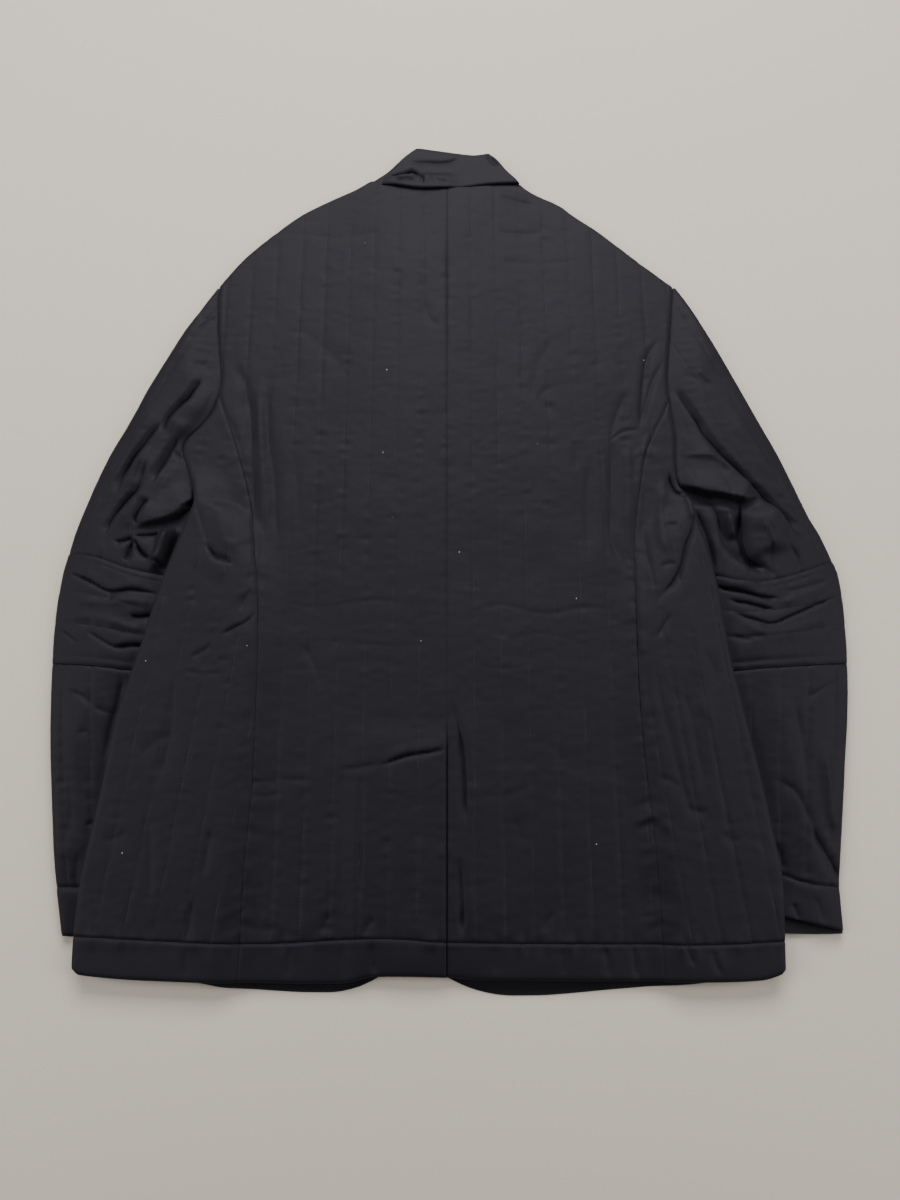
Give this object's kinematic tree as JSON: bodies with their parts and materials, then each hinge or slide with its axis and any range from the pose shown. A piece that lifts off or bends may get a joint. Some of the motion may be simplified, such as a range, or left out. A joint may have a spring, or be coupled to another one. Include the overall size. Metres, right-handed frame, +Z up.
{
  "type": "padded coat",
  "caption": "Dark channel-quilted padded coat laid flat on its front, with side panels, elbow bands, hem band, back vent and fold-down collar",
  "frame": {"origin": "On the surface the coat lies on, under the middle of its outline", "axes": "+Z up from the surface, +Y from the hem to the collar, +X towards the wearer's right sleeve"},
  "size_m": [0.745, 0.855, 0.0217],
  "materials": {
    "quilted": "matte woven shell, channel-quilted over wadding",
    "trim": "matte woven shell, stitched bands and collar"
  },
  "bodies": {
    "root": {"back_left": "quilted", "back_hem_left": "trim", "side_left": "quilted", "side_hem_left": "trim", "front_left": "quilted", "upper_sleeve_left_back": "quilted", "upper_sleeve_left_front": "quilted", "elbow_band_left_back": "trim", "elbow_band_left_front": "trim", "forearm_left_back": "quilted", "forearm_left_front": "quilted", "cuff_left_back": "trim", "cuff_left_front": "trim", "back_right": "quilted", "back_hem_right": "trim", "side_right": "quilted", "side_hem_right": "trim", "front_right": "quilted", "upper_sleeve_right_back": "quilted", "upper_sleeve_right_front": "quilted", "elbow_band_right_back": "trim", "elbow_band_right_front": "trim", "forearm_right_back": "quilted", "forearm_right_front": "quilted", "cuff_right_back": "trim", "cuff_right_front": "trim", "vent_underlap": "quilted", "collar_fall": "trim", "collar_stand": "trim", "collar_front": "trim"}
  },
  "joints": []
}
